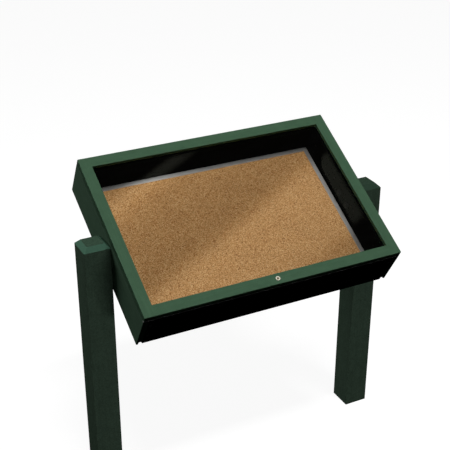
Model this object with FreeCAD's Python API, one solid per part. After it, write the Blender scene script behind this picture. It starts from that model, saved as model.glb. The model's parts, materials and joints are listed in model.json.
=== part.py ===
import FreeCAD, Part
import math
import os

# Lockable notice board: a shallow sloping display case hung between two square
# posts, with a top-hung glazed door and a cam lock in its bottom rail.
# Millimetres, +Z up. The origin is on the ground line, midway between the posts.
# The case is modelled flat and tipped into place at the end: there X runs along
# its width, Y up its slope, and Z out of its face from the back of its boards.

# Board and door, as seen from the front
board_width = 914.0
board_height = 610.0
slope_deg = 30.0
frame_face = 38.0
door_thickness = 19.0
edge_ease = 1.2
corner_ease = 2.0

# Case boards
case_depth = 137.0
seam = 4.0
side_board_thickness = 19.0
liner_thickness = 19.0
rail_board_thickness = 38.0
side_rabbet_width = 12.5
rail_rabbet_width = 20.0
back_panel_thickness = 12.0
panel_gap = 0.5

# Posts
post_side = 88.0
post_above_ground = 914.0
post_below_ground = 610.0
post_top_bevel = 15.0
post_edge_ease = 2.0
case_centre_behind_posts = 3.5
case_centre_below_post_tops = 43.0

# Tack board
trim_depth = 21.0
trim_lip = 15.0
trim_wall = 1.5
trim_gap = 1.0
cork_thickness = 6.0

# Pane and its seat in the back of the door
pane_thickness = 6.0
pane_gap = 1.5
seat_width = 12.0
tape_thickness = 1.0
tape_width = 9.0
tape_inset = 0.5

# Weather seal in the seam
seal_width = 6.0
seal_clearance = 0.2
side_seal_inset = 3.0

# Continuous hinge
hinge_end_margin = 45.0
hinge_leaf_width = 24.0
hinge_leaf_thickness = 1.5
hinge_knuckle_diameter = 7.0
hinge_pin_diameter = 3.5
hinge_knuckles = 27
knuckle_gap = 0.4
knuckle_clearance = 0.3
running_gap = 0.05

# Cam lock
lock_head_diameter = 16.0
lock_head_height = 1.5
lock_barrel_diameter = 12.0
lock_barrel_flats = 10.5
lock_hole_gap = 0.15
lock_nut_across_flats = 16.0
lock_nut_thickness = 4.5
plug_diameter = 8.5
plug_recess = 0.3
keyway_length = 5.5
keyway_width = 1.4
keyway_depth = 12.0
cam_width = 12.0
cam_reach = 23.0
cam_thickness = 3.0
cam_screw_head_diameter = 7.5
cam_screw_head_height = 2.8
cam_screw_diameter = 4.0
cam_screw_length = 9.0
cam_keeper_gap = 1.0
pocket_gap = 1.5
keeper_thickness = 2.0
keeper_length = 30.0
keeper_width = 22.0
keeper_overlap = 7.5
keeper_gap = 0.2

# Screws: shank diameter, head diameter, and the length gripped in the last piece
screw_gap = 0.05
panel_screw_size = (4.0, 8.0, 23.0)
tack_screw_size = (4.0, 8.0, 8.5)
liner_screw_size = (4.0, 8.0, 13.0)
hinge_case_screw_size = (3.0, 6.5, 23.5)
hinge_door_screw_size = (3.0, 6.5, 12.5)
door_corner_screw_size = (3.5, 7.0, 8.0)
keeper_screw_size = (3.0, 6.0, 18.0)
pane_screw_size = (3.0, 6.0, 9.0)
pane_screw_head = 2.0
corner_screw_size = (6.0, 11.0, 47.0)
corner_screw_head = 4.0
corner_screw_sink = 10.0
cap_diameter = 12.0
lag_screw_size = (8.0, 15.0, 58.0)
lag_head_height = 5.5
washer_diameter = 24.0
washer_thickness = 2.0
lag_spacing = 56.0

# Screw spacing
hinge_screw_count = 9
hinge_screw_margin = 24.0
pane_screw_columns = 5
pane_screw_rows = 3
pane_screw_margin = 60.0
panel_screw_columns = 5
panel_screw_rows = 4
panel_screw_margin = 100.0
liner_screw_columns = 4
liner_screw_margin = 45.0
liner_screw_setback = 45.0
door_corner_screw_step = 5.0
corner_screw_setback = 31.0
tack_screw_columns = 3
tack_screw_rows = 2
tack_screw_margin = 100.0

# Worked-out places in the flat case
half_width = board_width / 2
half_height = board_height / 2
hinge_length = board_width - 2 * hinge_end_margin
opening_x = half_width - frame_face
opening_y = half_height - frame_face
wall_x = half_width - side_board_thickness - liner_thickness
wall_y = half_height - rail_board_thickness
door_back = case_depth + seam
door_front = door_back + door_thickness
pane_seat = door_back + pane_thickness + tape_thickness
tack_top = back_panel_thickness + trim_depth
tack_x = wall_x - trim_gap
tack_y = wall_y - trim_gap
hinge_y = half_height + knuckle_clearance + hinge_knuckle_diameter / 2
hinge_z = case_depth + seam / 2
lock_y = -half_height + frame_face / 2
cam_top = case_depth - keeper_thickness - cam_keeper_gap
cam_bottom = cam_top - cam_thickness
keeper_x = cam_reach - keeper_overlap

# The case's place between the posts
slope = math.radians(slope_deg)
case_centre_z = post_above_ground - case_centre_below_post_tops
case_back_y = case_centre_behind_posts + math.sin(slope) * door_front / 2
case_back_z = case_centre_z - math.cos(slope) * door_front / 2
lag_z = (back_panel_thickness + case_depth) / 2
post_line_y = (math.sin(slope) * lag_z - case_back_y) / math.cos(slope)

V = FreeCAD.Vector
X_AXIS, Y_AXIS, Z_AXIS = V(1, 0, 0), V(0, 1, 0), V(0, 0, 1)


def box(x0, x1, y0, y1, z0, z1):
    return Part.makeBox(x1 - x0, y1 - y0, z1 - z0, V(x0, y0, z0))


def eased_box(x0, x1, y0, y1, z0, z1, ease=edge_ease):
    block = box(x0, x1, y0, y1, z0, z1)
    return block.makeFillet(ease, block.Edges)


def spread(count, reach):
    """Return count evenly spaced places from -reach to reach."""
    return [reach * (2 * i / (count - 1) - 1) for i in range(count)]


def mirrored(shape):
    return shape.mirror(V(0, 0, 0), X_AXIS)


def cylinder(diameter, start, direction, length):
    return Part.makeCylinder(diameter / 2, length, start, direction)


def through(size, *passed):
    """Screw long enough for the thicknesses that it passes and its grip in the last piece."""
    shank, head, grip = size
    return shank, head, sum(passed) + grip


def countersunk(size, face, direction, gap=0.0):
    """Countersunk screw whose flat head lies at face and whose shank runs along direction."""
    shank, head, length = size
    taper = (head - shank) / 2
    cone = Part.makeCone(head / 2 + gap, shank / 2 + gap, taper, face, direction)
    return cone.fuse(cylinder(shank + 2 * gap, face, direction, length + gap)).removeSplitter()


def pan_head(size, head_height, face, direction, gap=0.0):
    """Screw whose head stands on face and whose shank runs along direction."""
    shank, head, length = size
    top = cylinder(head + 2 * gap, face, direction * -1, head_height)
    if not gap:
        top = top.makeFillet(head_height / 3, [top.Edges[0]])
    return top.fuse(cylinder(shank + 2 * gap, face - direction * (head_height / 2), direction,
                             length + head_height / 2 + gap)).removeSplitter()


def hexagon(across_flats, start, direction, thickness):
    corner = across_flats / math.sqrt(3)
    points = [V(corner * math.cos(math.radians(60 * i)), corner * math.sin(math.radians(60 * i)), 0)
              for i in range(7)]
    prism = Part.Face(Part.makePolygon(points)).extrude(Z_AXIS * thickness)
    prism.Placement = FreeCAD.Placement(start, FreeCAD.Rotation(Z_AXIS, direction))
    return prism


def hex_head(size, head_height, face, direction, gap=0.0):
    """Screw with a hexagon head, whose head diameter is its size across the flats."""
    shank, flats, length = size
    shape = cylinder(shank + 2 * gap, face, direction, length + gap)
    if gap:
        return shape
    return shape.fuse(hexagon(flats, face, direction * -1, head_height)).removeSplitter()


def cut_all(shape, cutters):
    for cutter in cutters:
        shape = shape.cut(cutter)
    return shape


def group(solids):
    return Part.makeCompound(solids)


panel_screw = through(panel_screw_size, back_panel_thickness)
tack_screw = through(tack_screw_size, back_panel_thickness, trim_wall)
liner_screw = through(liner_screw_size, liner_thickness)
hinge_case_screw = through(hinge_case_screw_size, hinge_leaf_thickness)
hinge_door_screw = through(hinge_door_screw_size, hinge_leaf_thickness)
door_corner_screw = through(door_corner_screw_size, pane_thickness, tape_thickness)
keeper_screw = through(keeper_screw_size, keeper_thickness)
pane_screw = through(pane_screw_size, pane_thickness, tape_thickness)
corner_screw = through(corner_screw_size, rail_board_thickness - corner_screw_sink)
lag_screw = through(lag_screw_size, washer_thickness, liner_thickness, side_board_thickness)
cam_screw_size = (cam_screw_diameter, cam_screw_head_diameter, cam_screw_length)


# Fastener places in the flat case

def hinge_screw_places(face_z):
    return [V(x, half_height - hinge_leaf_width / 2, face_z)
            for x in spread(hinge_screw_count, hinge_length / 2 - hinge_screw_margin)]


def pane_screw_places():
    x, y = opening_x + seat_width / 2, opening_y + seat_width / 2
    long_sides = [V(px, side * y, door_back) for side in (-1, 1)
                  for px in spread(pane_screw_columns, opening_x - pane_screw_margin)]
    short_sides = [V(side * x, py, door_back) for side in (-1, 1)
                   for py in spread(pane_screw_rows, opening_y - pane_screw_margin)]
    return long_sides + short_sides


def panel_screw_places():
    x = wall_x + liner_thickness / 2
    y = wall_y + rail_rabbet_width / 2
    long_sides = [V(px, side * y, 0) for side in (-1, 1)
                  for px in spread(panel_screw_columns, wall_x - panel_screw_margin)]
    short_sides = [V(side * x, py, 0) for side in (-1, 1)
                   for py in spread(panel_screw_rows, wall_y - panel_screw_margin)]
    return long_sides + short_sides


def tack_screw_places():
    return [V(x, y, 0) for x in spread(tack_screw_columns, tack_x - tack_screw_margin)
            for y in spread(tack_screw_rows, tack_y - tack_screw_margin)]


def door_corner_screw_places():
    middle = (frame_face - seat_width) / 2
    step = door_corner_screw_step
    return [V(side_x * (half_width - middle - d), side_y * (half_height - middle + d), door_back)
            for side_x in (-1, 1) for side_y in (-1, 1) for d in (-step, step)]


def liner_screw_places():
    rows = (back_panel_thickness + liner_screw_setback, case_depth - liner_screw_setback)
    return [V(wall_x, y, z) for z in rows
            for y in spread(liner_screw_columns, wall_y - liner_screw_margin)]


def lag_screw_places():
    return [V(wall_x - washer_thickness, post_line_y + side * lag_spacing / 2, lag_z)
            for side in (-1, 1)]


def corner_screw_places():
    x = wall_x + liner_thickness / 2
    depths = (back_panel_thickness + corner_screw_setback, case_depth - corner_screw_setback)
    return [V(side * x, half_height - corner_screw_sink, z) for side in (-1, 1) for z in depths]


def keeper_screw_places():
    x = keeper_x + keeper_length - keeper_width / 4
    return [V(x, lock_y + side * keeper_width / 4, case_depth) for side in (-1, 1)]


# Fasteners

def countersunk_group(size, places, direction, gap=0.0):
    return [countersunk(size, place, direction, gap) for place in places]


def liner_screws(gap=0.0):
    return countersunk_group(liner_screw, liner_screw_places(), X_AXIS, gap)


def lag_screws(gap=0.0):
    return [hex_head(lag_screw, lag_head_height, place, X_AXIS, gap) for place in lag_screw_places()]


def lag_washers():
    washers = []
    for place in lag_screw_places():
        disc = cylinder(washer_diameter, place, X_AXIS, washer_thickness)
        washers.append(disc.cut(cylinder(lag_screw[0] + 2 * screw_gap, place, X_AXIS, washer_thickness)))
    return washers


def top_corner_screws(gap=0.0):
    return [pan_head(corner_screw, corner_screw_head, place, Y_AXIS * -1, gap)
            for place in corner_screw_places()]


def top_corner_caps(gap=0.0):
    """Round plugs that close the sunk holes over the corner screws, flush with the board."""
    length = corner_screw_sink - corner_screw_head
    return [cylinder(cap_diameter + 2 * gap, place + Y_AXIS * corner_screw_head, Y_AXIS, length)
            for place in corner_screw_places()]


def both_ends(solids):
    """Add the copies at the case's bottom board to the solids at its top board."""
    return solids + [solid.mirror(V(0, 0, 0), Y_AXIS) for solid in solids]


def both_sides(solids):
    return solids + [mirrored(solid) for solid in solids]


# Case

def right_side_board():
    board = eased_box(half_width - side_board_thickness, half_width, -half_height, half_height,
                      0, case_depth)
    rabbet_start = half_width - side_board_thickness
    rabbet = box(rabbet_start - edge_ease, rabbet_start + side_rabbet_width,
                 -half_height - edge_ease, half_height + edge_ease, -edge_ease, back_panel_thickness)
    return cut_all(board.cut(rabbet), liner_screws(screw_gap) + lag_screws(screw_gap))


def right_liner_board():
    liner = box(wall_x, wall_x + liner_thickness, -wall_y, wall_y, back_panel_thickness, case_depth)
    holes = liner_screws(screw_gap) + lag_screws(screw_gap) + both_ends(top_corner_screws(screw_gap))
    holes += countersunk_group(panel_screw, panel_screw_places(), Z_AXIS, screw_gap)
    return cut_all(liner, holes)


def top_board():
    reach = half_width - side_board_thickness
    board = eased_box(-reach, reach, wall_y, half_height, 0, case_depth)
    rabbet = box(-board_width, board_width, wall_y - edge_ease, wall_y + rail_rabbet_width,
                 -edge_ease, back_panel_thickness)
    holes = top_corner_screws(screw_gap) + top_corner_caps(screw_gap)
    holes += countersunk_group(panel_screw, panel_screw_places(), Z_AXIS, screw_gap)
    holes += countersunk_group(hinge_case_screw, hinge_screw_places(case_depth + hinge_leaf_thickness),
                               Z_AXIS * -1, screw_gap)
    return cut_all(board.cut(rabbet), holes)


def lock_pocket():
    """Room in the bottom board for the lock's nut and for the cam's quarter turn."""
    nut_room = lock_nut_across_flats / math.sqrt(3) + pocket_gap
    floor = cam_bottom - cam_screw_head_height - pocket_gap
    return box(-nut_room, cam_reach + pocket_gap, lock_y - nut_room, -wall_y + edge_ease,
               floor, case_depth + edge_ease)


def keeper_box(gap=0.0):
    return box(keeper_x - gap, keeper_x + keeper_length + gap,
               lock_y - keeper_width / 2 - gap, lock_y + keeper_width / 2 + gap,
               case_depth - keeper_thickness, case_depth)


def keeper_screws(gap=0.0):
    return countersunk_group(keeper_screw, keeper_screw_places(), Z_AXIS * -1, gap)


def bottom_board():
    reach = half_width - side_board_thickness
    board = eased_box(-reach, reach, -half_height, -wall_y, 0, case_depth)
    rabbet = box(-board_width, board_width, -wall_y - rail_rabbet_width, -wall_y + edge_ease,
                 -edge_ease, back_panel_thickness)
    holes = [solid.mirror(V(0, 0, 0), Y_AXIS)
             for solid in top_corner_screws(screw_gap) + top_corner_caps(screw_gap)]
    holes += countersunk_group(panel_screw, panel_screw_places(), Z_AXIS, screw_gap)
    holes += [lock_pocket(), keeper_box(keeper_gap)] + keeper_screws(screw_gap)
    return cut_all(board.cut(rabbet), holes)


def back_panel():
    x = half_width - side_board_thickness + side_rabbet_width - panel_gap
    y = wall_y + rail_rabbet_width - panel_gap
    panel = box(-x, x, -y, y, 0, back_panel_thickness)
    holes = countersunk_group(panel_screw, panel_screw_places(), Z_AXIS, screw_gap)
    holes += countersunk_group(tack_screw, tack_screw_places(), Z_AXIS, screw_gap)
    return cut_all(panel, holes)


def keeper_plate():
    return cut_all(keeper_box(), keeper_screws(screw_gap))


# Tack board

def backing_board():
    x, y = tack_x - trim_wall, tack_y - trim_wall
    board = box(-x, x, -y, y, back_panel_thickness + trim_wall, tack_top - trim_wall - cork_thickness)
    return cut_all(board, countersunk_group(tack_screw, tack_screw_places(), Z_AXIS, screw_gap))


def cork_sheet():
    x, y = tack_x - trim_wall, tack_y - trim_wall
    return box(-x, x, -y, y, tack_top - trim_wall - cork_thickness, tack_top - trim_wall)


def trim_ring():
    """The four trim channels in one piece, before they are parted at the mitres."""
    inner_x, inner_y = tack_x - trim_wall, tack_y - trim_wall
    ring = box(-tack_x, tack_x, -tack_y, tack_y, back_panel_thickness, tack_top)
    slot = box(-inner_x, inner_x, -inner_y, inner_y,
               back_panel_thickness + trim_wall, tack_top - trim_wall)
    window = box(trim_lip - tack_x, tack_x - trim_lip, trim_lip - tack_y, tack_y - trim_lip,
                 back_panel_thickness, tack_top)
    return ring.cut(slot).cut(window)


def mitre_region(points):
    """Prism through the tack board's thickness that holds one channel up to its mitres."""
    corners = [V(x, y, back_panel_thickness) for x, y in points]
    return Part.Face(Part.makePolygon(corners + corners[:1])).extrude(Z_AXIS * trim_depth)


def trim_channels():
    ring = trim_ring()
    x, y, lip = tack_x, tack_y, trim_lip
    top = mitre_region([(-x, y), (x, y), (x - lip, y - lip), (lip - x, y - lip)])
    right = mitre_region([(x, y), (x, -y), (x - lip, lip - y), (x - lip, y - lip)])
    regions = {"top": top, "bottom": top.mirror(V(0, 0, 0), Y_AXIS), "right": right, "left": mirrored(right)}
    return {name: ring.common(region) for name, region in regions.items()}


# Door

def door_blank():
    """The door frame in one piece with its pane seat, before it is parted at the half laps."""
    blank = box(-half_width, half_width, -half_height, half_height, door_back, door_front)
    upright = [edge for edge in blank.Edges if abs(edge.Vertexes[0].Z - edge.Vertexes[1].Z) > 1]
    blank = blank.makeFillet(corner_ease, upright)
    blank = blank.cut(box(-opening_x, opening_x, -opening_y, opening_y, door_back, door_front))
    front = [edge for edge in blank.Edges
             if min(vertex.Z for vertex in edge.Vertexes) > door_front - edge_ease / 2]
    blank = blank.makeFillet(edge_ease, front)
    seat_x, seat_y = opening_x + seat_width, opening_y + seat_width
    return blank.cut(box(-seat_x, seat_x, -seat_y, seat_y, door_back, pane_seat))


def door_members():
    """Part the blank: the stiles run through in front, and the rails run through behind."""
    blank = door_blank()
    behind_y = half_height - frame_face + seat_width
    rails_front = box(-opening_x, opening_x, -half_height, half_height, pane_seat, door_front)
    rails_behind = box(-half_width, half_width, behind_y, half_height, door_back, pane_seat)
    rails = rails_front.fuse([rails_behind, rails_behind.mirror(V(0, 0, 0), Y_AXIS)])
    upper = box(-half_width, half_width, 0, half_height, door_back, door_front)
    right = box(0, half_width, -half_height, half_height, door_back, door_front)
    members = {
        "door_top_rail": blank.common(rails).common(upper),
        "door_bottom_rail": blank.common(rails).cut(upper),
        "door_right_stile": blank.cut(rails).common(right),
        "door_left_stile": blank.cut(rails).cut(right),
    }
    corner_holes = door_corner_screws(screw_gap)
    pane_holes = pane_screws(screw_gap)
    for name in members:
        members[name] = cut_all(members[name], corner_holes + pane_holes)
    members["door_top_rail"] = cut_all(members["door_top_rail"], hinge_door_screws(screw_gap))
    members["door_bottom_rail"] = members["door_bottom_rail"].cut(lock_barrel(lock_hole_gap))
    return members


def door_corner_screws(gap=0.0):
    return countersunk_group(door_corner_screw, door_corner_screw_places(), Z_AXIS, gap)


def pane_screws(gap=0.0):
    return [pan_head(pane_screw, pane_screw_head, place, Z_AXIS, gap) for place in pane_screw_places()]


def hinge_door_screws(gap=0.0):
    places = hinge_screw_places(door_back - hinge_leaf_thickness)
    return countersunk_group(hinge_door_screw, places, Z_AXIS, gap)


def pane():
    x, y = opening_x + seat_width - pane_gap, opening_y + seat_width - pane_gap
    sheet = box(-x, x, -y, y, door_back, door_back + pane_thickness)
    return cut_all(sheet, pane_screws(screw_gap))


def glazing_tape():
    x, y = opening_x + tape_inset, opening_y + tape_inset
    low, high = pane_seat - tape_thickness, pane_seat
    ring = box(-x - tape_width, x + tape_width, -y - tape_width, y + tape_width, low, high)
    return cut_all(ring.cut(box(-x, x, -y, y, low, high)), pane_screws(screw_gap))


# Weather seal

def right_seal():
    x = half_width - side_seal_inset
    return box(x - seal_width, x, -half_height + seal_width, half_height,
               case_depth, door_back - seal_clearance)


def bottom_seal():
    return box(-half_width, half_width, -half_height, -half_height + seal_width,
               case_depth, door_back - seal_clearance)


# Hinge

def hinge_knuckle_places(first):
    """Start and length of every other knuckle, from the first one given."""
    pitch = hinge_length / hinge_knuckles
    return [(-hinge_length / 2 + pitch * i + knuckle_gap / 2, pitch - knuckle_gap)
            for i in range(first, hinge_knuckles, 2)]


def hinge_leaf(low_z, first, screws):
    """Leaf plate with its own knuckles; low_z is the plate's lower face."""
    high_z = low_z + hinge_leaf_thickness
    plate_end = half_height - knuckle_clearance
    pieces = []
    for start, length in hinge_knuckle_places(first):
        pieces.append(box(start, start + length, plate_end, hinge_y, low_z, high_z))
        pieces.append(cylinder(hinge_knuckle_diameter, V(start, hinge_y, hinge_z), X_AXIS, length))
    plate = box(-hinge_length / 2, hinge_length / 2, half_height - hinge_leaf_width, plate_end,
                low_z, high_z)
    leaf = plate.fuse(pieces).removeSplitter()
    bore = cylinder(hinge_pin_diameter + 2 * running_gap, V(-hinge_length, hinge_y, hinge_z),
                    X_AXIS, 2 * hinge_length)
    return cut_all(leaf.cut(bore), screws)


def hinge_case_screws(gap=0.0):
    places = hinge_screw_places(case_depth + hinge_leaf_thickness)
    return countersunk_group(hinge_case_screw, places, Z_AXIS * -1, gap)


def hinge_case_leaf():
    return hinge_leaf(case_depth, 0, hinge_case_screws(screw_gap))


def hinge_door_leaf():
    return hinge_leaf(door_back - hinge_leaf_thickness, 1, hinge_door_screws(screw_gap))


def hinge_pin():
    return cylinder(hinge_pin_diameter, V(-hinge_length / 2, hinge_y, hinge_z), X_AXIS, hinge_length)


# Lock

def lock_barrel(gap=0.0):
    start = V(0, lock_y, cam_top)
    length = door_front - cam_top
    barrel = cylinder(lock_barrel_diameter + 2 * gap, start, Z_AXIS, length)
    flat = lock_barrel_flats / 2 + gap
    return barrel.common(box(-flat, flat, lock_y - frame_face, lock_y + frame_face, cam_top, door_front))


def lock_body():
    head = cylinder(lock_head_diameter, V(0, lock_y, door_front), Z_AXIS, lock_head_height)
    head = head.makeFillet(lock_head_height / 2, [head.Edges[0]])
    body = head.fuse(lock_barrel()).removeSplitter()
    bore_length = door_front + lock_head_height - cam_top
    return body.cut(cylinder(plug_diameter + 2 * running_gap, V(0, lock_y, cam_top), Z_AXIS, bore_length))


def lock_nut():
    nut = hexagon(lock_nut_across_flats, V(0, lock_y, door_back - lock_nut_thickness), Z_AXIS,
                  lock_nut_thickness)
    return nut.cut(lock_barrel(screw_gap))


def cam_screw(gap=0.0):
    return pan_head(cam_screw_size, cam_screw_head_height, V(0, lock_y, cam_bottom), Z_AXIS, gap)


def lock_plug():
    top = door_front + lock_head_height - plug_recess
    plug = cylinder(plug_diameter, V(0, lock_y, cam_top), Z_AXIS, top - cam_top)
    keyway = box(-keyway_width / 2, keyway_width / 2, lock_y - keyway_length / 2,
                 lock_y + keyway_length / 2, top - keyway_depth, top)
    return plug.cut(keyway).cut(cam_screw(screw_gap))


def lock_cam():
    """Flat cam that points up the slope when unlocked, with a round tail about the plug."""
    tail = cylinder(cam_width, V(0, lock_y, cam_bottom), Z_AXIS, cam_thickness)
    arm = box(-cam_width / 2, cam_width / 2, lock_y, lock_y + cam_reach, cam_bottom, cam_top)
    return tail.fuse(arm).removeSplitter().cut(cam_screw(screw_gap))


# Posts

def rounded_square(half, radius, z):
    """Closed wire: a square of the given half side with its corners rounded, at height z."""
    edges = []
    for i in range(4):
        turn = FreeCAD.Rotation(Z_AXIS, 90 * i)
        start = turn.multVec(V(half - radius, -half, z))
        middle_offset = radius * (1 - math.sqrt(0.5))
        middle = turn.multVec(V(half - middle_offset, -half + middle_offset, z))
        end = turn.multVec(V(half, -half + radius, z))
        following = turn.multVec(V(half, half - radius, z))
        edges.append(Part.Arc(start, middle, end).toShape())
        edges.append(Part.LineSegment(end, following).toShape())
    return Part.Wire(edges)


def right_post():
    half = post_side / 2
    shoulder = post_above_ground - post_top_bevel
    shaft_height = shoulder + post_below_ground
    shaft = Part.Face(rounded_square(half, post_edge_ease, -post_below_ground)).extrude(Z_AXIS * shaft_height)
    sections = [rounded_square(half, post_edge_ease, shoulder),
                rounded_square(half - post_top_bevel, post_edge_ease, post_above_ground)]
    top = Part.makeLoft(sections, True, True)
    post = shaft.fuse(top).removeSplitter()
    post.translate(V(half_width + half, 0, 0))
    return cut_all(post, [tipped(hole) for hole in lag_screws(screw_gap)])


def tipped(shape):
    """Take a piece from the flat case to its place between the posts."""
    placed = shape.copy()
    placed.rotate(V(0, 0, 0), X_AXIS, slope_deg)
    placed.translate(V(0, case_back_y, case_back_z))
    return placed


def case_pieces():
    channels = {"trim_channel_" + name: channel for name, channel in trim_channels().items()}
    side_board, liner_board, seal = right_side_board(), right_liner_board(), right_seal()
    pieces = {
        "right_side_board": side_board,
        "left_side_board": mirrored(side_board),
        "right_liner_board": liner_board,
        "left_liner_board": mirrored(liner_board),
        "top_board": top_board(),
        "bottom_board": bottom_board(),
        "back_panel": back_panel(),
        "liner_screws": group(both_sides(liner_screws())),
        "post_lag_screws": group(both_sides(lag_screws())),
        "post_washers": group(both_sides(lag_washers())),
        "corner_screws": group(both_ends(top_corner_screws())),
        "corner_screw_caps": group(both_ends(top_corner_caps())),
        "back_panel_screws": group(countersunk_group(panel_screw, panel_screw_places(), Z_AXIS)),
        "tack_board_screws": group(countersunk_group(tack_screw, tack_screw_places(), Z_AXIS)),
        "tack_backing_board": backing_board(),
        "cork_sheet": cork_sheet(),
        "right_weather_seal": seal,
        "left_weather_seal": mirrored(seal),
        "bottom_weather_seal": bottom_seal(),
        "keeper_plate": keeper_plate(),
        "keeper_screws": group(keeper_screws()),
        "hinge_case_leaf": hinge_case_leaf(),
        "hinge_case_screws": group(hinge_case_screws()),
        "hinge_pin": hinge_pin(),
    }
    return {**pieces, **channels}


def door_pieces():
    pieces = {
        "pane": pane(),
        "glazing_tape": glazing_tape(),
        "pane_screws": group(pane_screws()),
        "door_corner_screws": group(door_corner_screws()),
        "hinge_door_leaf": hinge_door_leaf(),
        "hinge_door_screws": group(hinge_door_screws()),
        "lock_body": lock_body(),
        "lock_nut": lock_nut(),
        "lock_plug": lock_plug(),
        "lock_cam": lock_cam(),
        "cam_screw": cam_screw(),
    }
    return {**pieces, **door_members()}


def main():
    os.makedirs("parts", exist_ok=True)
    pieces = {name: tipped(shape) for name, shape in {**case_pieces(), **door_pieces()}.items()}
    post = right_post()
    pieces["right_post"] = post
    pieces["left_post"] = mirrored(post)
    for name, shape in sorted(pieces.items()):
        shape.exportStep(f"parts/{name}.step")
        print(f"{name}: solids {len(shape.Solids)}, volume {shape.Volume:.0f} mm3, valid {shape.isValid()}")


main()
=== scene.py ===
"""A lockable notice board in two posts: camera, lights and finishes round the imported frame."""
import json
import math

import bmesh
import bpy
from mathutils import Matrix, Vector, noise as field

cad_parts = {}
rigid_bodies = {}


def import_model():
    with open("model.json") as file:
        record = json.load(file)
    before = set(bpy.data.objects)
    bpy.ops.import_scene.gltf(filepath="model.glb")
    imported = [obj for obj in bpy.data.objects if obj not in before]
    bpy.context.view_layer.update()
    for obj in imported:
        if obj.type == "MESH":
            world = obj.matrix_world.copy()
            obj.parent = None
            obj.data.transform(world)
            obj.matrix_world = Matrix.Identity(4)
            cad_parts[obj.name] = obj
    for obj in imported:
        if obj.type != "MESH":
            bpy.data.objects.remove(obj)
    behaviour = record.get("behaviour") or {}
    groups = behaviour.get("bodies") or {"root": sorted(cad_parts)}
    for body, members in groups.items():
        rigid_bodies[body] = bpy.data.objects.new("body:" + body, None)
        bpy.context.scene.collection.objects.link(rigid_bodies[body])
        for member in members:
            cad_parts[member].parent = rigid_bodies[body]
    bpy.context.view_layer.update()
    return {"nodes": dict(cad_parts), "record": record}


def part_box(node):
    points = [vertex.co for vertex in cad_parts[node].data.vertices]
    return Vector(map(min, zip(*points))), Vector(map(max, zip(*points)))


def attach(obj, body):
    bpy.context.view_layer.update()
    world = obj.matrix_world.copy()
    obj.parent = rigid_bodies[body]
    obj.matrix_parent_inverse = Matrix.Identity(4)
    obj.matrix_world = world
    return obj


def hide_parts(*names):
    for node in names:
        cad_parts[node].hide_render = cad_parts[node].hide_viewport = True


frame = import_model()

MM = 0.001

# The board lies on a slope: x is across it, s is up it, n stands out of it.
SLOPE = math.radians(30)
ACROSS = Vector((1, 0, 0))
UPSLOPE = Vector((0, math.cos(SLOPE), math.sin(SLOPE)))
OUTWARD = Vector((0, -math.sin(SLOPE), math.cos(SLOPE)))

slots = {part["node"]: part["material_slot"] for part in frame["record"]["subparts"]}
board_centre = (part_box("door_top_rail")[1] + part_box("door_bottom_rail")[0]) / 2
board_centre.x = 0
plug_low, plug_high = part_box("lock_plug")
lock_on_board = (0, ((plug_low + plug_high) / 2).dot(UPSLOPE), 0)

# The photograph's camera, for a picture IMAGE pixels wide.
IMAGE = 450
FOCAL_PIXELS = 1009.13
SENSOR_WIDTH = 36
CAMERA_PLACE = (-1.38429, -2.64935, 2.35580)
CAMERA_HEADING = math.radians(26.8859)
CAMERA_DOWN = math.radians(26.641)

# Lamps: place, size in metres, watts and the pieces that they light. OUTER is the posts and the
# case's sides, and "inner" is the rest with the floor. The two last lamps light the sides that
# the camera doesn't see, and leave the STAGE dark.
POSTS = ("left_post", "right_post")
OUTER = POSTS + ("left_side_board", "right_side_board")
STAGE = ("floor", "ceiling", "baffle")
LAMPS = {
    "key": ((0.0, -1.65, 4.6), (2.5, 0.7), 161, "inner"),
    "side": ((-5.0, 1.5, 0.55), (1.9, 1.0), 32, "inner"),
    "outer_key": ((0.0, 0.0, 4.6), (2.5, 0.7), 86, "outer"),
    "left": ((-4.0, 1.9, 3.5), (1.5, 1.0), 56, "outer"),
    "rear_left": ((-3.0, 3.0, 3.5), (1.5, 1.0), 38, "outer"),
    "front": ((0.0, -4.5, 0.4), (1.5, 0.8), 61, "posts"),
    "rear_right": ((4.0, 3.2, 0.9), (1.5, 1.0), 130, "all"),
    "rear": ((0.0, 4.5, 0.5), (1.5, 0.8), 110, "all"),
}

# The sky is white to the camera and in gloss, and almost dark as a light. The floor glows only
# to the camera, which sees FLOOR_ALBEDO, while FLOOR_BOUNCE is what it throws back.
SKY_LIGHT = 0.004
FLOOR_GLOW = 0.94
FLOOR_ALBEDO = 0.25
FLOOR_BOUNCE = 0.01
FLOOR_SIZE = 14.0

# Two strip lights hang overhead under a dark ceiling, where the pane mirrors them. A dark
# baffle, which is an outline in x and y, hides a part of them.
CEILING_HEIGHT = 4.2
CEILING_SIZE = 6.0
BAFFLE_DROP = 0.01
BAFFLE = ((2.125, 0.35), (2.247, 0.333), (2.216, 0.257), (2.211, 0.205), (2.261, 0.047),
          (2.365, -0.256), (2.33, -0.256), (2.174, 0.205))
STRIP_TURN = math.radians(24)
STRIP_RADIANCE = 0.34
STRIP_COLOUR = (0.95, 1.0, 0.78, 1)

# Each edge is a place across the strips or the bands, in metres, and the tone there.
STRIP_EDGES = ((-0.012, 0), (0.018, 1), (0.05, 1), (0.09, 0),
               (0.63, 0), (0.665, 1), (1.145, 0.85), (1.19, 0))

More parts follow.
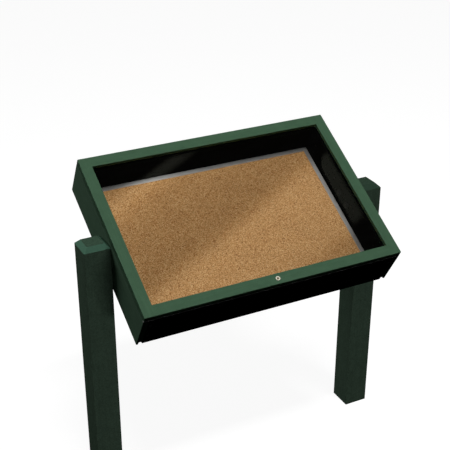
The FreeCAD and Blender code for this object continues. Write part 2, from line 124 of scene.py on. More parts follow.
# A spot lamp throws the strips' light on the cork, as two slanting bands.
BAND_TURN = math.radians(26)
BAND_EDGES = ((-0.36, 0), (-0.32, 1), (-0.30, 1), (-0.27, 0.55), (-0.21, 0.22), (-0.07, 0),
              (-0.03, 0), (0.03, 0.86), (0.13, 0.80), (0.23, 0.60), (0.272, 0.5), (0.292, 0.12),
              (0.33, 0))
BAND_LAMP_DISTANCE = 3.0
BAND_LAMP_WATTS = 200
BAND_LAMP = {"shadow_soft_size": 0.03, "spot_size": math.radians(30), "spot_blend": 0.1}
BAND_PIECES = ("granulated_cork", "trim_channel_")


# Shader nodes.

def put(tree, kind, inputs=None, **settings):
    """Adds a node. An input is a plain value or another node's output."""
    node = tree.nodes.new("ShaderNode" + kind)
    for key, value in settings.items():
        setattr(node, key, value)
    for key, value in (inputs or {}).items():
        if isinstance(value, bpy.types.NodeSocket):
            tree.links.new(value, node.inputs[key])
        else:
            node.inputs[key].default_value = value
    return node


def material(name, **inputs):
    """A Principled material with plain inputs, and its node tree and shader."""
    made = bpy.data.materials.new(name)
    made.use_nodes = True
    shader = made.node_tree.nodes["Principled BSDF"]
    for key, value in inputs.items():
        shader.inputs[key.replace("_", " ")].default_value = value
    return made, made.node_tree, shader


def feed(shader, **outputs):
    """Links other nodes' outputs to a shader's inputs."""
    for key, output in outputs.items():
        shader.id_data.links.new(output, shader.inputs[key.replace("_", " ")])


def math_node(tree, operation, one, two, **settings):
    return put(tree, "Math", {0: one, 1: two}, operation=operation, **settings).outputs[0]


def vector_node(tree, operation, *values, output="Vector"):
    return put(tree, "VectorMath", dict(enumerate(values)), operation=operation).outputs[output]


def world_space(tree, stretch=(1, 1, 1)):
    """Metres along x, y and z, each times its stretch."""
    return vector_node(tree, "MULTIPLY", put(tree, "TexCoord").outputs["Object"], stretch)


def board_space(tree, stretch=(1, 1, 1)):
    """Metres across the board, up its slope and out of it, each times its stretch."""
    place = put(tree, "TexCoord").outputs["Object"]
    turned = put(tree, "Mapping", {"Vector": place, "Rotation": (-SLOPE, 0, 0)},
                 vector_type="POINT")
    return vector_node(tree, "MULTIPLY", turned.outputs[0], stretch)


def noise(tree, place, scale, detail=2.0, roughness=0.5):
    return put(tree, "TexNoise", {"Vector": place, "Scale": scale, "Detail": detail,
                                  "Roughness": roughness}).outputs["Fac"]


def spread(tree, value, low, high, to_low=0.0, to_high=1.0):
    return put(tree, "MapRange", {"Value": value, "From Min": low, "From Max": high,
                                  "To Min": to_low, "To Max": to_high}).outputs["Result"]


def spread_noise(tree, value, to_low=0.0, to_high=1.0):
    """Spreads a noise, which seldom leaves the middle of its range."""
    return spread(tree, value, 0.3, 0.7, to_low, to_high)


def blend(tree, factor, dark, light):
    """Mixes two colours, which are plain or other nodes' outputs."""
    mix = put(tree, "Mix", {"Factor": factor}, data_type="RGBA")
    for socket, colour in ((mix.inputs[6], dark), (mix.inputs[7], light)):
        if isinstance(colour, bpy.types.NodeSocket):
            tree.links.new(colour, socket)
        else:
            socket.default_value = (*colour, 1)
    return mix.outputs[2]


def shade(colour, factor):
    return tuple(c * factor for c in colour)


def about(colour, contrast):
    """A colour made darker and lighter by the same share."""
    return shade(colour, 1 - contrast), shade(colour, 1 + contrast)


def colour_ramp(tree, factor, stops):
    """Colours over a factor of 0 to 1. Each stop is (position, colour)."""
    node = put(tree, "ValToRGB", {"Fac": factor})
    elements = node.color_ramp.elements
    for element, (position, colour) in ((elements[0], stops[0]), (elements[1], stops[-1])):
        element.position, element.color = position, (*colour, 1)
    for position, colour in stops[1:-1]:
        elements.new(position).color = (*colour, 1)
    return node.outputs[0]


def tone_ramp(tree, value, edges):
    """Tones over a run of places. Each edge is (place, tone)."""
    first, last = edges[0][0], edges[-1][0]
    stops = [((place - first) / (last - first), (tone,) * 3) for place, tone in edges]
    return colour_ramp(tree, spread(tree, value, first, last), stops)


def bump(shader, height, strength, distance):
    made = put(shader.id_data, "Bump",
               {"Height": height, "Strength": strength, "Distance": distance})
    feed(shader, Normal=made.outputs["Normal"])


# Finishes.

# How noise is drawn out along a board that runs across, up the slope or upright.
GRAIN = {"x": (1, 16, 16), "s": (16, 1, 16), "z": (16, 16, 1)}

# How far up a post's face looks: where skin gives way to bevel, and bevel to sawn top.
BEVEL_NORMALS = (0.25, 0.6)
TOP_NORMALS = (0.8, 0.95)

POST_GREEN = (0.049, 0.079, 0.055)
POST_SAWN_GREEN = (0.041, 0.075, 0.050)
# The posts' bevel greens hold painted light: the left one is lighter as a painted highlight, the
# right one darker as painted shade.
LEFT_BEVEL_GREEN_PAINTED_HIGHLIGHT = (0.062, 0.138, 0.094)
RIGHT_BEVEL_GREEN_PAINTED_SHADE = (0.038, 0.072, 0.048)
# The case sides' green is the door's plastic, greyed by a painted sheen in place of their gloss.
CASE_GREEN_WITH_PAINTED_SHEEN = (0.055, 0.098, 0.064)
DOOR_GREEN = (0.053, 0.107, 0.063)
BLACK = (0.003, 0.003, 0.0032)

CORK_TONES = (
    (0.0, (0.090, 0.034, 0.010)),
    (0.10, (0.237, 0.101, 0.028)),
    (0.45, (0.356, 0.187, 0.069)),
    (0.8, (0.450, 0.266, 0.112)),
    (1.0, (0.535, 0.352, 0.168)),
)
CORK_DRIFT = ((0.96, 0.955, 0.95), (1.04, 1.045, 1.05))
CORK_WARP = (0.003, 0.003, 0.003)

# The brass's face colours are pale and the lock's material mostly diffuse, so that its colour
# partly stands in for the polished face's reflection, as painted reflection.
BRASS_WITH_PAINTED_REFLECTION = ((0.94, 0.89, 0.70), (1.0, 0.97, 0.84))
# The lock head turns darker from a set radius outwards, round its rim.
LOCK_RIM_DARK = (0.06, 0.065, 0.03)
LOCK_RIM_DARK_RADIUS = 0.0068
LOCK_RIM_DARK_WIDTH = 0.0008


def moulded_board(name, colour, along, contrast=0.16, fleck=0.25, roughness=0.55, sheen=0.0,
                  grit=700, cut_ends=None):
    """Through-coloured plastic board: streaks along its length, mottling and a fine grain.
    cut_ends gives the colours of its bevels and of its sawn top, which differ from its skin.
    On the posts, the bevels' colours also hold painted light: a painted highlight on the left
    post, painted shade on the right."""
    made, tree, shader = material(name, Roughness=roughness, Specular_IOR_Level=sheen)
    space = world_space if along == "z" else board_space
    streaks = noise(tree, space(tree, GRAIN[along]), scale=9, detail=3)
    mottle = noise(tree, space(tree), scale=38, detail=4, roughness=0.6)
    grain = noise(tree, space(tree), scale=grit, detail=2, roughness=0.7)
    tone = spread(tree, math_node(tree, "ADD", streaks, mottle), 0.7, 1.3)
    body = blend(tree, tone, *about(colour, contrast))
    specks = blend(tree, spread_noise(tree, grain), *about(colour, fleck))
    skin = blend(tree, 0.5, body, specks)
    if cut_ends:
        bevel_green_with_painted_light, top_green = cut_ends
        normal = put(tree, "NewGeometry").outputs["Normal"]
        up = put(tree, "SeparateXYZ", {0: normal}).outputs["Z"]
        rings = noise(tree, world_space(tree), scale=160, detail=3, roughness=0.7)
        bevel = blend(tree, rings, *about(bevel_green_with_painted_light, 0.15))
        top = blend(tree, spread_noise(tree, rings), *about(top_green, 0.2))
        skin = blend(tree, spread(tree, up, *BEVEL_NORMALS), skin, bevel)
        skin = blend(tree, spread(tree, up, *TOP_NORMALS), skin, top)
    feed(shader, Base_Color=skin,
         Roughness=spread_noise(tree, mottle, roughness - 0.07, roughness + 0.07))
    bump(shader, grain, strength=0.22, distance=0.0004)
    return made


def pressed_cork(name):
    """Pressed cork granules of a few millimetres, from straw to dark bark."""
    made, tree, shader = material(name, Roughness=0.9, Specular_IOR_Level=0.0)
    place = board_space(tree)
    warp = put(tree, "TexNoise", {"Vector": place, "Scale": 260, "Detail": 2})
    bent = vector_node(tree, "MULTIPLY_ADD", warp.outputs["Color"], CORK_WARP, place)
    cells = put(tree, "TexVoronoi", {"Vector": bent, "Scale": 520})
    each = put(tree, "SeparateColor", {0: cells.outputs["Color"]}).outputs[0]
    granules = colour_ramp(tree, each, CORK_TONES)
    drift = noise(tree, place, scale=14, detail=3)
    tint = blend(tree, spread(tree, drift, 0.35, 0.65), *CORK_DRIFT)
    tinted = put(tree, "Mix", {"Factor": 1.0, 6: granules, 7: tint}, data_type="RGBA",
                 blend_type="MULTIPLY")
    feed(shader, Base_Color=tinted.outputs[2])
    bump(shader, cells.outputs["Distance"], strength=0.15, distance=0.0005)
    return made


def metal(name, colour, roughness, stretch, bare=1.0, sheen=0.5):
    """Metal with fine marks, drawn out by their stretch. A bare value under 1 gives it a dull
    oxide skin."""
    made, tree, shader = material(name, Metallic=bare, Roughness=roughness,
                                  Specular_IOR_Level=sheen)
    marks = noise(tree, board_space(tree, stretch), scale=60, detail=4, roughness=0.6)
    feed(shader, Base_Color=blend(tree, spread_noise(tree, marks), *about(colour, 0.12)),
         Roughness=spread_noise(tree, marks, roughness - 0.1, roughness + 0.1))
    bump(shader, marks, strength=0.1, distance=0.0002)
    return made


def lock_brass(name):
    """Pale brass, polished on its face and darker from a set radius outwards, round its rim."""
    # Mostly diffuse, with a pale face colour that is partly painted reflection of polished brass.
    made, tree, shader = material(name, Metallic=0.1, Roughness=0.34)
    place = board_space(tree)
    from_axis = vector_node(tree, "SUBTRACT", place, lock_on_board)
    flat = vector_node(tree, "MULTIPLY", from_axis, (1, 1, 0))
    radius = vector_node(tree, "LENGTH", flat, output="Value")
    marks = noise(tree, place, scale=900, detail=4, roughness=0.6)
    face = blend(tree, spread_noise(tree, marks), *BRASS_WITH_PAINTED_REFLECTION)
    rim_darkening = spread(tree, radius, LOCK_RIM_DARK_RADIUS, LOCK_RIM_DARK_RADIUS + LOCK_RIM_DARK_WIDTH)
    feed(shader, Base_Color=blend(tree, rim_darkening, face, LOCK_RIM_DARK),
         Roughness=spread_noise(tree, marks, 0.28, 0.4))
    bump(shader, marks, strength=0.1, distance=0.0002)
    return made


def rubber(name, colour):
    """Foam or rubber strip with open pores."""
    made, tree, shader = material(name, Roughness=0.8, Specular_IOR_Level=0.2)
    cells = put(tree, "TexVoronoi", {"Vector": board_space(tree), "Scale": 900})
    pores = cells.outputs["Distance"]
    feed(shader, Base_Color=blend(tree, spread(tree, pores, 0.1, 0.6), shade(colour, 0.7),
                                  shade(colour, 1.15)))
    bump(shader, pores, strength=0.5, distance=0.0004)
    return made


def clear_sheet(name):
    """Almost clear. Only its Alpha share of the reflection is seen, so the reflection itself is
    strong."""
    made, tree, shader = material(name, IOR=1.8, Alpha=0.06, Specular_IOR_Level=1.0,
                                  Coat_Weight=1.0, Coat_IOR=1.8, Coat_Roughness=0.014)
    wipes = noise(tree, board_space(tree, (1, 5, 1)), scale=9, detail=3)
    feed(shader, Base_Color=blend(tree, spread_noise(tree, wipes), (0.004, 0.005, 0.004),
                                  (0.012, 0.013, 0.012)),
         Roughness=spread_noise(tree, wipes, 0.008, 0.02))
    return made


def fibreboard(name):
    """Brown board of short fibres that lie in its plane."""
    made, tree, shader = material(name, Roughness=0.85, Specular_IOR_Level=0.15)
    fibres = noise(tree, board_space(tree, (1, 1, 6)), scale=500, detail=4, roughness=0.7)
    feed(shader, Base_Color=blend(tree, spread_noise(tree, fibres), (0.2, 0.125, 0.07),
                                  (0.36, 0.25, 0.155)))
    bump(shader, fibres, strength=0.3, distance=0.0003)
    return made


finishes = {}


def add_finish(name, maker, *values, **settings):
    finishes[name] = maker(name, *values, **settings)


# Each post gets its own copy of one finish, and their bevels differ only by painted light.
for post, bevel_green_with_painted_light in (("left", LEFT_BEVEL_GREEN_PAINTED_HIGHLIGHT), ("right", RIGHT_BEVEL_GREEN_PAINTED_SHADE)):
    add_finish("post_green_" + post, moulded_board, POST_GREEN, "z", contrast=0.22, fleck=0.48,
               roughness=0.75, grit=260, cut_ends=(bevel_green_with_painted_light, POST_SAWN_GREEN))
# The case sides have no gloss, and a painted sheen greys their colour instead.
add_finish("case_green", moulded_board, CASE_GREEN_WITH_PAINTED_SHEEN, "s")
add_finish("door_green_across", moulded_board, DOOR_GREEN, "x", sheen=0.02)
add_finish("door_green_upslope", moulded_board, DOOR_GREEN, "s", sheen=0.02)
add_finish("case_black", moulded_board, BLACK, "x", contrast=0.2, fleck=0.3, roughness=0.5)
add_finish("cap_black", moulded_board, BLACK, "x", contrast=0.1, fleck=0.2, roughness=0.45,
           sheen=0.05)
add_finish("backing_fibreboard", fibreboard)
add_finish("cork", pressed_cork)
add_finish("trim_aluminium", metal, (0.55, 0.545, 0.525), 0.45, (1, 40, 40), bare=0.75)
add_finish("weather_seal", rubber, (0.6, 0.6, 0.59))
add_finish("glazing_tape", rubber, (0.02, 0.02, 0.02))
add_finish("clear_pane", clear_sheet)
add_finish("hinge_steel", metal, (0.5, 0.5, 0.49), 0.35, (1, 30, 30))
add_finish("black_fasteners", metal, (0.006, 0.006, 0.0065), 0.6, (20, 20, 20), bare=0.0,
           sheen=0.02)
add_finish("bright_fasteners_blackened", metal, (0.02, 0.02, 0.02), 0.5, (20, 20, 20), bare=0.0,
           sheen=0.1)
add_finish("bright_fasteners", metal, (0.55, 0.54, 0.52), 0.3, (20, 20, 20))
add_finish("lock_body_metal", lock_brass)
add_finish("lock_plug_metal", metal, (0.43, 0.35, 0.23), 0.4, (15, 15, 15))
add_finish("plated_steel", metal, (0.5, 0.5, 0.48), 0.35, (15, 15, 15))

# Nodes whose finish is a variant of their slot's. The posts' variants are lit and shaded copies,
# with painted light on their bevels.
VARIANT = {"door_top_rail": "_across", "door_bottom_rail": "_across",
           "door_left_stile": "_upslope", "door_right_stile": "_upslope",
           "left_post": "_left", "right_post": "_right", "pane_screws": "_blackened"}


def finish_of(node):
    return finishes[slots[node] + VARIANT.get(node, "")]


for node in slots:
    for holder in frame["nodes"][node].material_slots:
        holder.material = finish_of(node)


# Pieces made here, each in the room of the CAD piece that it replaces. Screws and the lock are
# in millimetres, and the rest is in metres.

def welded(node):
    """A bmesh of a CAD node, with the vertices that lie on each other joined."""
    mesh = bmesh.new()
    mesh.from_mesh(frame["nodes"][node].data)
    bmesh.ops.remove_doubles(mesh, verts=mesh.verts, dist=1e-6)
    return mesh


def islands(node):
    """The vertices of each separate solid in a CAD node."""
    mesh = welded(node)
    left, found = set(mesh.verts), []
    while left:
        queue, solid = [left.pop()], []
        while queue:
            vertex = queue.pop()
            solid.append(vertex.co.copy())
            for edge in vertex.link_edges:
                other = edge.other_vert(vertex)
                if other in left:
                    left.remove(other)
                    queue.append(other)
        found.append(solid)
    mesh.free()
    return sorted(found, key=lambda solid: tuple(round(c, 4) for c in middle(solid)))


def middle(points):
    low = Vector(min(p[i] for p in points) for i in range(3))
    high = Vector(max(p[i] for p in points) for i in range(3))
    return (low + high) / 2


def end_on_axis(solid, direction):
    """The middle of a solid's end face in one direction, and its length there in millimetres."""
    reach = [p.dot(direction) for p in solid]
    face = [p for p, r in zip(solid, reach) if r > max(reach) - 1e-5]
    return middle(face), (max(reach) - min(reach)) / MM


def node_reach(node, *axes):
    """The lowest and highest place of a CAD node along each axis."""
    corners = [vertex.co for vertex in frame["nodes"][node].data.vertices]
    return [(min(c.dot(axis) for c in corners), max(c.dot(axis) for c in corners))
            for axis in axes]


def add_turned(mesh, head, direction, rings, angles, closed=False):
    """Adds a solid of rings about an axis. A ring is (depth below the head, radius), and the
    radius may be a function of the angle. A closed one is a tube whose last ring meets its
    first."""
    side = direction.orthogonal().normalized()
    if abs(direction.dot(ACROSS)) < 0.5:
        side = ACROSS
    other = direction.cross(side)
    loops = []
    for depth, radius in rings:
        loop = []
        for angle in angles:
            reach = radius(angle) if callable(radius) else radius
            out = side * math.cos(angle) + other * math.sin(angle)
            loop.append(mesh.verts.new(head - direction * depth * MM + out * reach * MM))
        loops.append(loop)
    bridge(mesh, loops + loops[:1] if closed else loops, capped=not closed)


def bridge(mesh, loops, capped=True):
    """Faces between each loop and the next, and over the first and the last."""
    count = len(loops[0])
    for one, two in zip(loops, loops[1:]):
        for i in range(count):
            j = (i + 1) % count
            mesh.faces.new((one[i], two[i], two[j], one[j]))
    if capped:
        mesh.faces.new(loops[0])
        mesh.faces.new(list(reversed(loops[-1])))


def finish_piece(name, mesh, node, smooth=40):
    """Makes the object of a bmesh in place of a CAD node, with its body and finish. Edges
    sharper than smooth degrees stay sharp."""
    bmesh.ops.recalc_face_normals(mesh, faces=mesh.faces)
    data = bpy.data.meshes.new(name)
    mesh.to_mesh(data)
    mesh.free()
    made = bpy.data.objects.new(name, data)
    bpy.context.scene.collection.objects.link(made)
    data.materials.append(finish_of(node))
    data.shade_smooth()
    data.set_sharp_from_angle(angle=math.radians(smooth))
    body, slot = body_of(node), slots[node]
    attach(made, body)
    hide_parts(node)


def body_of(node):
    bodies = frame["record"]["behaviour"]["bodies"]
    return next(body for body, members in bodies.items() if node in members)


# A cross recess and a raised head, as shares of the head's width, radius and height.
RECESS_LENGTH, RECESS_WIDTH, RECESS_DEPTH = 0.29, 0.075, 0.24
RECESS_FOOT, RECESS_LIP = 0.55, 1.08
LIP_DEPTH = 0.02
PAN_PROFILE = ((0.06, 0.72), (0.3, 0.92), (0.6, 1.0), (1.0, 1.0))

# How far in and down a flat head's rim is eased.
RIM_IN, RIM_DOWN = 0.15, 0.2

# A thread's core as a share of its width, and its point, in widths long and as a share of full.
THREAD_CORE = 0.72
POINT_LENGTH, POINT_TIP = 0.9, 0.12
RINGS_PER_TURN = 4


def cross(length, width, scale=1.0):
    """Outline of a cross recess as a radius for each angle."""
    def radius(angle):
        off = abs((angle + math.pi / 4) % (math.pi / 2) - math.pi / 4)
        if math.tan(off) * length <= width:
            return scale * length / math.cos(off)
        return scale * width / math.sin(off)
    return radius


def quarter_angles(length, width):
    """Angles round a full turn with a vertex at each corner of a cross."""
    corner = math.atan(width / length)
    between = (math.radians(30), math.radians(45), math.radians(60))
    quarter = (0, corner, *between, math.pi / 2 - corner)
    return [math.pi / 2 * turn + angle for turn in range(4) for angle in quarter]


def thread(core, outer, pitch):
    """Ring radii of a thread: a function of depth that gives a function of angle."""
    def at(depth, fade=1.0):
        def radius(angle):
            phase = (depth / pitch - angle / math.tau) % 1
            return (core + (outer - core) * abs(2 * phase - 1)) * fade
        return radius
    return at


def shank(start, end, diameter, plain, pitch):
    """Rings of a screw's shank: a plain part, then a thread that ends in a point."""
    outer = diameter / 2
    core = outer * THREAD_CORE
    ridge = thread(core, outer, pitch)
    rings = [(start, core), (start + plain, core)]
    point = diameter * POINT_LENGTH
    count = max(RINGS_PER_TURN, round((end - start - plain) / pitch * RINGS_PER_TURN))
    for i in range(1, count + 1):
        depth = start + plain + (end - start - plain) * i / count
        fade = min(1.0, POINT_TIP + (1 - POINT_TIP) * (end - depth) / point)
        rings.append((depth, ridge(depth, fade)))
    return rings


def screw_group(node, shank_size, head_size, facing, pan=0.0, plain=3.0, pitch=1.6):
    """Cross-recessed screws in place of a node's plain ones. Pan is a raised head's height."""
    length, width = head_size * RECESS_LENGTH, head_size * RECESS_WIDTH
    radius = head_size / 2
    rings = [(head_size * RECESS_DEPTH, cross(length, width, RECESS_FOOT)),
             (LIP_DEPTH, cross(length, width)), (0.0, cross(length, width, RECESS_LIP))]
    if pan:
        rings += [(pan * depth, radius * share) for depth, share in PAN_PROFILE]
        start = pan
    else:
        rings += [(0.0, radius - RIM_IN), (RIM_DOWN, radius)]
        start = (head_size - shank_size) / 2
    angles = quarter_angles(length, width)
    mesh = bmesh.new()
    for solid in islands(node):
        direction = facing(middle(solid))
        head, total = end_on_axis(solid, direction)
        thread_rings = shank(start, total, shank_size, plain, pitch)
        add_turned(mesh, head, direction, rings + thread_rings, angles)
    finish_piece(node + "_cross_headed", mesh, node)


# Which way a screw's head faces, from the screw's place.

def inward(place):
    return Vector((-1 if place.x > 0 else 1, 0, 0))


def rail_side(place):
    return UPSLOPE if (place - board_centre).dot(UPSLOPE) > 0 else -UPSLOPE


def front(place):
    return OUTWARD


def rear(place):
    return -OUTWARD


screw_group("pane_screws", 3.0, 6.0, rear, pan=2.0, pitch=1.2)
screw_group("hinge_case_screws", 3.0, 6.5, front, pitch=1.3)
screw_group("hinge_door_screws", 3.0, 6.5, rear, pitch=1.3)
screw_group("back_panel_screws", 4.0, 8.0, rear, plain=8)
screw_group("tack_board_screws", 4.0, 8.0, rear)
screw_group("keeper_screws", 3.0, 6.0, front, pitch=1.3)
screw_group("door_corner_screws", 3.5, 7.0, rear, pitch=1.4)
screw_group("liner_screws", 4.0, 8.0, inward, plain=8)
screw_group("corner_screws", 6.0, 11.0, rail_side, pan=4.0, plain=28, pitch=2.4)
screw_group("cam_screw", 4.0, 7.5, rear, pan=2.8, plain=2, pitch=0.9)

LAG_FLATS = 15.0
LAG_HEAD = 5.5
LAG_SHANK = 8.0
LAG_PLAIN = 30
LAG_PITCH = 3.2


def lag_screws():
    """Hexagon-headed screws with a dished, chamfered crown and a coarse thread."""
    node = "post_lag_screws"

    def hexagon(limit):
        def radius(angle):
            off = (angle + math.pi / 6) % (math.pi / 3) - math.pi / 6
            return min(limit, LAG_FLATS / 2 / math.cos(off))
        return radius

    angles = [math.radians(10 * i) for i in range(36)]
    rings = [(0.25, 2.6), (0.25, 3.2), (0.0, 3.5), (0.0, 6.6), (0.35, 7.2),
             (0.9, hexagon(8.2)), (1.3, hexagon(9)), (LAG_HEAD, hexagon(9))]
    mesh = bmesh.new()
    for solid in islands(node):
        direction = inward(middle(solid))
        head, total = end_on_axis(solid, direction)
        thread_rings = shank(LAG_HEAD, total, LAG_SHANK, LAG_PLAIN, LAG_PITCH)
        add_turned(mesh, head, direction, rings + thread_rings, angles)
    finish_piece("post_lag_screws_threaded", mesh, node)


LOCK_BORE = 8.6
LOCK_BARREL = 12.0
LOCK_BARREL_CORE = 10.9
LOCK_FLATS = 10.5
LOCK_PITCH = 1.0
LOCK_SEGMENTS = 64

# The lock's head from its bore outwards: depth, and how far the radius is over the bore's. Then
# its rim: depth and radius.
LOCK_LIP = ((0.75, 0.0), (0.45, 0.1), (0.3, 0.4), (0.08, 0.7), (0.0, 0.9))
LOCK_RIM = ((0.0, 6.5), (0.12, 7.15), (0.4, 7.65), (0.75, 7.93), (1.1, 8.0), (1.5, 7.96))


def lock_case():
    """The lock's fixed part: a crowned head with a dished rim and a flat-sided threaded barrel."""
    node, bore = "lock_body", LOCK_BORE / 2
    head, total = end_on_axis(islands(node)[0], OUTWARD)
    ridge = thread(LOCK_BARREL_CORE / 2, LOCK_BARREL / 2, LOCK_PITCH)

    def flatted(depth):
        round_part = ridge(depth)
        return lambda angle: min(round_part(angle),
                                 LOCK_FLATS / 2 / max(abs(math.cos(angle)), 0.05))

    rings = [(total, bore)] + [(depth, bore + over) for depth, over in LOCK_LIP]
    rings += LOCK_RIM
    depth = LOCK_RIM[-1][0]
    while depth < total:
        rings.append((depth, flatted(depth)))
        depth += LOCK_PITCH / RINGS_PER_TURN
    rings.append((total, flatted(total)))
    mesh = bmesh.new()
    angles = [math.tau * i / LOCK_SEGMENTS for i in range(LOCK_SEGMENTS)]
    add_turned(mesh, head, OUTWARD, rings, angles, closed=True)
    finish_piece("lock_case", mesh, node)


PLUG_SIZE = 8.5
KEYWAY_LENGTH = 5.5
KEYWAY_WIDTH = 1.4
KEYWAY_SLIM = 0.6
KEYWAY_DEPTH = 9.0

# The depths of the step's top and foot, and the chamfer's depth and width.
KEYWAY_STEP = (2.1, 2.2)
KEYWAY_CHAMFER = (0.25, 0.2)


def keyed_plug():
    """The lock's turning part, with a chamfered face and a keyway that narrows below a step."""
    node, radius = "lock_plug", PLUG_SIZE / 2
    half_length, half_width = KEYWAY_LENGTH / 2, KEYWAY_WIDTH / 2
    head, total = end_on_axis(islands(node)[0], OUTWARD)

    def keyway(grow=0.0, slim=1.0):
        long, narrow = half_length + grow, (half_width + grow) * slim
        return lambda angle: min(narrow / max(abs(math.cos(angle)), 1e-6),
                                 long / max(abs(math.sin(angle)), 1e-6))

    corner = math.atan(half_width / half_length)
    quarter = [0, 0.35, 0.7, 1.0, 1.2, math.pi / 2 - corner]
    angles = quarter + [math.pi / 2] + [math.pi - a for a in reversed(quarter)]
    angles += [a + math.pi for a in angles[1:-1]]
    step_top, step_foot = KEYWAY_STEP
    chamfer_depth, chamfer = KEYWAY_CHAMFER
    rings = [(KEYWAY_DEPTH, keyway(slim=KEYWAY_SLIM)), (step_foot, keyway(slim=KEYWAY_SLIM)),
             (step_top, keyway()), (chamfer_depth, keyway()), (0.0, keyway(chamfer)),
             (0.0, radius - 0.5), (0.12, radius - 0.15), (0.4, radius), (total, radius)]
    mesh = bmesh.new()
    add_turned(mesh, head, OUTWARD, rings, angles)
    finish_piece("keyed_plug", mesh, node)


# A foam strip's section, as shares of its width and height. Noise wears the points that are
# higher than SEAL_WEAR_FROM.
SEAL_OUTLINE = ((0, 0), (0, 0.72), (0.07, 0.9), (0.2, 1.0), (0.4, 0.98), (0.5, 0.86),
                (0.6, 0.98), (0.8, 1.0), (0.93, 0.9), (1, 0.72), (1, 0))
SEAL_STEP = 0.006
SEAL_END_PINCH = 0.06
SEAL_WEAR = 0.03
SEAL_WEAR_FROM = 0.25
SEAL_WEAR_SCALE = (3, 90)


def seal_strip(name, node, along, across):
    """Foam strip with rounded shoulders, a shallow groove in its crown and slightly uneven
    faces."""
    (start, end), (left, right), (foot, crown) = node_reach(node, along, across, OUTWARD)
    length, wide, tall = end - start, right - left, crown - foot
    section_scale, length_scale = SEAL_WEAR_SCALE
    count = round(length / SEAL_STEP)
    mesh, loops = bmesh.new(), []
    for i in range(count + 1):
        t = i / count
        pinch = SEAL_END_PINCH if i in (0, count) else 0.0
        loop = []
        for u, v in SEAL_OUTLINE:
            spot = Vector((u * section_scale, v * section_scale, t * length * length_scale))
            worn = field.noise(spot) * SEAL_WEAR * (v > SEAL_WEAR_FROM)
            a = min(max(u + (0.5 - u) * pinch, 0), 1)
            b = min(max(v * (1 - pinch) - abs(worn), 0), 1)
            place = (along * (start + t * length) + across * (left + a * wide)
                     + OUTWARD * (foot + b * tall))
            loop.append(mesh.verts.new(place))
        loops.append(loop)
    bridge(mesh, loops)
    finish_piece(name, mesh, node, smooth=60)


CORK_STEP = 0.0026
CORK_GRANULE = 0.0042
CORK_RELIEF = 0.0002
CORK_JOINT = 2.2


def granulated_cork():
    """The cork sheet with its pressed granules standing a little proud of the joints between
    them. A joint is narrower the higher CORK_JOINT is."""
    node = "cork_sheet"
    (x0, x1), (s0, s1), (n0, n1) = node_reach(node, ACROSS, UPSLOPE, OUTWARD)
    columns, rows = round((x1 - x0) / CORK_STEP), round((s1 - s0) / CORK_STEP)
    mesh, grid = bmesh.new(), []
    for j in range(rows + 1):
        line = []
        for i in range(columns + 1):
            x, s = x0 + (x1 - x0) * i / columns, s0 + (s1 - s0) * j / rows
            near = field.voronoi(Vector((x, s, 0)) / CORK_GRANULE)[0]
            sunk = CORK_RELIEF * max(0.0, 1 - (near[1] - near[0]) * CORK_JOINT)
            line.append(mesh.verts.new(ACROSS * x + UPSLOPE * s + OUTWARD * (n1 - sunk)))
        grid.append(line)
    for lower, upper in zip(grid, grid[1:]):
        for i in range(columns):
            mesh.faces.new((lower[i], lower[i + 1], upper[i + 1], upper[i]))
    rim = (grid[0][:-1] + [line[-1] for line in grid[:-1]] + grid[-1][:0:-1]
           + [line[0] for line in grid[:0:-1]])
    base = [mesh.verts.new(v.co - OUTWARD * (v.co.dot(OUTWARD) - n0)) for v in rim]
    for i, top in enumerate(rim):
        j = (i + 1) % len(rim)
        mesh.faces.new((top, base[i], base[j], rim[j]))
    mesh.faces.new(base)
    finish_piece("granulated_cork", mesh, node, smooth=70)


TRIM_EDGE = 0.0003
FLAT_WITHIN = math.radians(1)
SHARP_ABOVE = math.radians(30)


def softened(node):
    """A copy of a sharp-edged CAD piece with its edges rounded."""
    mesh = welded(node)
    bmesh.ops.dissolve_limit(mesh, angle_limit=FLAT_WITHIN, verts=mesh.verts, edges=mesh.edges)
    sharp = [edge for edge in mesh.edges
             if len(edge.link_faces) == 2 and edge.calc_face_angle() > SHARP_ABOVE]
    bmesh.ops.bevel(mesh, geom=sharp, offset=TRIM_EDGE, segments=2, profile=0.7,
                    affect="EDGES")
    finish_piece(node + "_eased", mesh, node, smooth=50)


lag_screws()
lock_case()
keyed_plug()
seal_strip("bottom_foam_seal", "bottom_weather_seal", ACROSS, UPSLOPE)
seal_strip("left_foam_seal", "left_weather_seal", UPSLOPE, ACROSS)
seal_strip("right_foam_seal", "right_weather_seal", UPSLOPE, ACROSS)
granulated_cork()
for side in ("top", "bottom", "left", "right"):
    softened("trim_channel_" + side)


# Light and camera.

def lamp(name, kind, place, aim, watts, **settings):
    data = bpy.data.lights.new(name, kind)
    data.energy = watts
    for key, value in settings.items():
        setattr(data, key, value)
    made = bpy.data.objects.new(name, data)
    bpy.context.scene.collection.objects.link(made)
    made.location = place
    made.rotation_euler = (Vector(aim) - Vector(place)).to_track_quat("-Z", "Y").to_euler()
    return made


def light_only(source, pieces):
    """Limits a lamp to some pieces."""
    lit = bpy.data.collections.new("lit_by_" + source.name)
    for piece in pieces:
        lit.objects.link(piece)
    source.light_linking.receiver_collection = lit


def area_lamps():
    """Rectangular lamps aimed at the board, which the pane doesn't mirror."""
    pieces = [piece for piece in bpy.context.scene.objects if piece.type == "MESH"]
    lit = {"all": [piece for piece in pieces if piece.name not in STAGE],
           "posts": [frame["nodes"][name] for name in POSTS],
           "outer": [frame["nodes"][name] for name in OUTER],
           "inner": [piece for piece in pieces if piece.name not in OUTER]}
    for name, (place, (length, width), watts, group) in LAMPS.items():
        made = lamp(name, "AREA", place, board_centre, watts, shape="RECTANGLE", size=length,
                    size_y=width)
        made.visible_glossy = False
        light_only(made, lit[group])


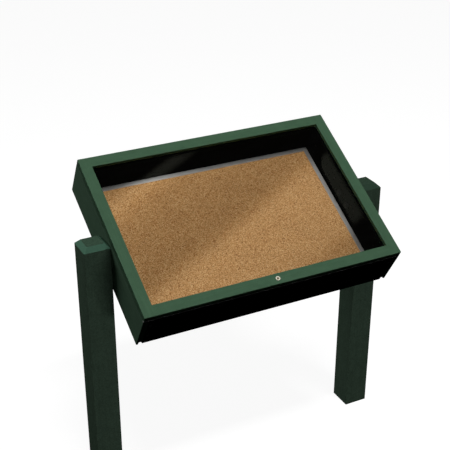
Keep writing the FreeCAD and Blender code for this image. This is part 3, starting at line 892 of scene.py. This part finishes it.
def band_lamp():
    """A lamp square above the board that throws the strips' bands on the cork and its trim."""
    cork_low, cork_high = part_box("cork_sheet")
    place = (cork_low + cork_high) / 2 + OUTWARD * BAND_LAMP_DISTANCE
    made = lamp("bands", "SPOT", place, place - OUTWARD, BAND_LAMP_WATTS, **BAND_LAMP)
    made.rotation_euler = (SLOPE, 0, 0)
    made.data.use_nodes = True
    tree = made.data.node_tree
    ray = put(tree, "TexCoord").outputs["Normal"]
    across = Vector((-math.sin(BAND_TURN), math.cos(BAND_TURN), 0)) * BAND_LAMP_DISTANCE
    sideways = vector_node(tree, "DOT_PRODUCT", ray, across, output="Value")
    onward = put(tree, "SeparateXYZ", {0: ray}).outputs["Z"]
    tone = tone_ramp(tree, math_node(tree, "DIVIDE", sideways, onward), BAND_EDGES)
    feed(tree.nodes["Emission"], Strength=tone)
    light_only(made, [piece for piece in bpy.context.scene.objects
                      if piece.name.startswith(BAND_PIECES)])


def set_world():
    world = bpy.data.worlds.new("studio")
    bpy.context.scene.world = world
    world.use_nodes = True
    tree = world.node_tree
    ray = put(tree, "LightPath").outputs
    seen = math_node(tree, "ADD", ray["Is Camera Ray"], ray["Is Glossy Ray"])
    seen = math_node(tree, "ADD", seen, ray["Is Transmission Ray"], use_clamp=True)
    background = tree.nodes["Background"]
    background.inputs["Color"].default_value = (1, 1, 1, 1)
    feed(background, Strength=spread(tree, seen, 0, 1, SKY_LIGHT, 1.0))


def stage_plane(name, corners, finish):
    mesh = bpy.data.meshes.new(name)
    mesh.from_pydata(corners, [], [range(len(corners))])
    made = bpy.data.objects.new(name, mesh)
    mesh.materials.append(finish)
    bpy.context.scene.collection.objects.link(made)
    return made


def floor_material():
    """Pale floor: what the camera sees is lifted to white, and the shadow stays faint."""
    made, tree, shader = material("floor", Roughness=1.0, Specular_IOR_Level=0.0,
                                  Emission_Color=(1, 1, 1, 1))
    seen = put(tree, "LightPath").outputs["Is Camera Ray"]
    feed(shader, Base_Color=blend(tree, seen, (FLOOR_BOUNCE,) * 3, (FLOOR_ALBEDO,) * 3),
         Emission_Strength=spread(tree, seen, 0, 1, 0, FLOOR_GLOW))
    return made


def ceiling_material():
    """Dark, with the two strip lights in it."""
    made = bpy.data.materials.new("ceiling")
    made.use_nodes = True
    tree = made.node_tree
    tree.nodes.remove(tree.nodes["Principled BSDF"])
    across = (math.sin(STRIP_TURN), -math.cos(STRIP_TURN), 0)
    point = put(tree, "TexCoord").outputs["Object"]
    tone = tone_ramp(tree, vector_node(tree, "DOT_PRODUCT", point, across, output="Value"),
                     STRIP_EDGES)
    strength = spread(tree, tone, 0, 1, 0, STRIP_RADIANCE)
    glow = put(tree, "Emission", {"Color": STRIP_COLOUR, "Strength": strength})
    feed(tree.nodes["Material Output"], Surface=glow.outputs[0])
    return made


def baffle_material():
    made, _, _ = material("baffle", Base_Color=(0, 0, 0, 1), Specular_IOR_Level=0.0)
    return made


def seen_only_in_gloss(piece):
    for ray in ("camera", "diffuse", "transmission", "shadow", "volume_scatter"):
        setattr(piece, "visible_" + ray, False)


def square(size, height):
    half = size / 2
    return [(-half, -half, height), (half, -half, height), (half, half, height),
            (-half, half, height)]


def set_stage():
    stage_plane("floor", square(FLOOR_SIZE, 0), floor_material())
    ceiling = stage_plane("ceiling", square(CEILING_SIZE, CEILING_HEIGHT), ceiling_material())
    corners = [(x, y, CEILING_HEIGHT - BAFFLE_DROP) for x, y in BAFFLE]
    baffle = stage_plane("baffle", corners, baffle_material())
    seen_only_in_gloss(ceiling)
    seen_only_in_gloss(baffle)


def set_camera():
    data = bpy.data.cameras.new("camera")
    data.sensor_fit = "HORIZONTAL"
    data.sensor_width = SENSOR_WIDTH
    data.lens = FOCAL_PIXELS / IMAGE * SENSOR_WIDTH
    camera = bpy.data.objects.new("camera", data)
    bpy.context.scene.collection.objects.link(camera)
    camera.location = CAMERA_PLACE
    camera.rotation_euler = (math.pi / 2 - CAMERA_DOWN, 0, -CAMERA_HEADING)
    bpy.context.scene.camera = camera


set_world()
set_stage()
band_lamp()
area_lamps()
set_camera()
bpy.context.scene.view_settings.view_transform = "Standard"
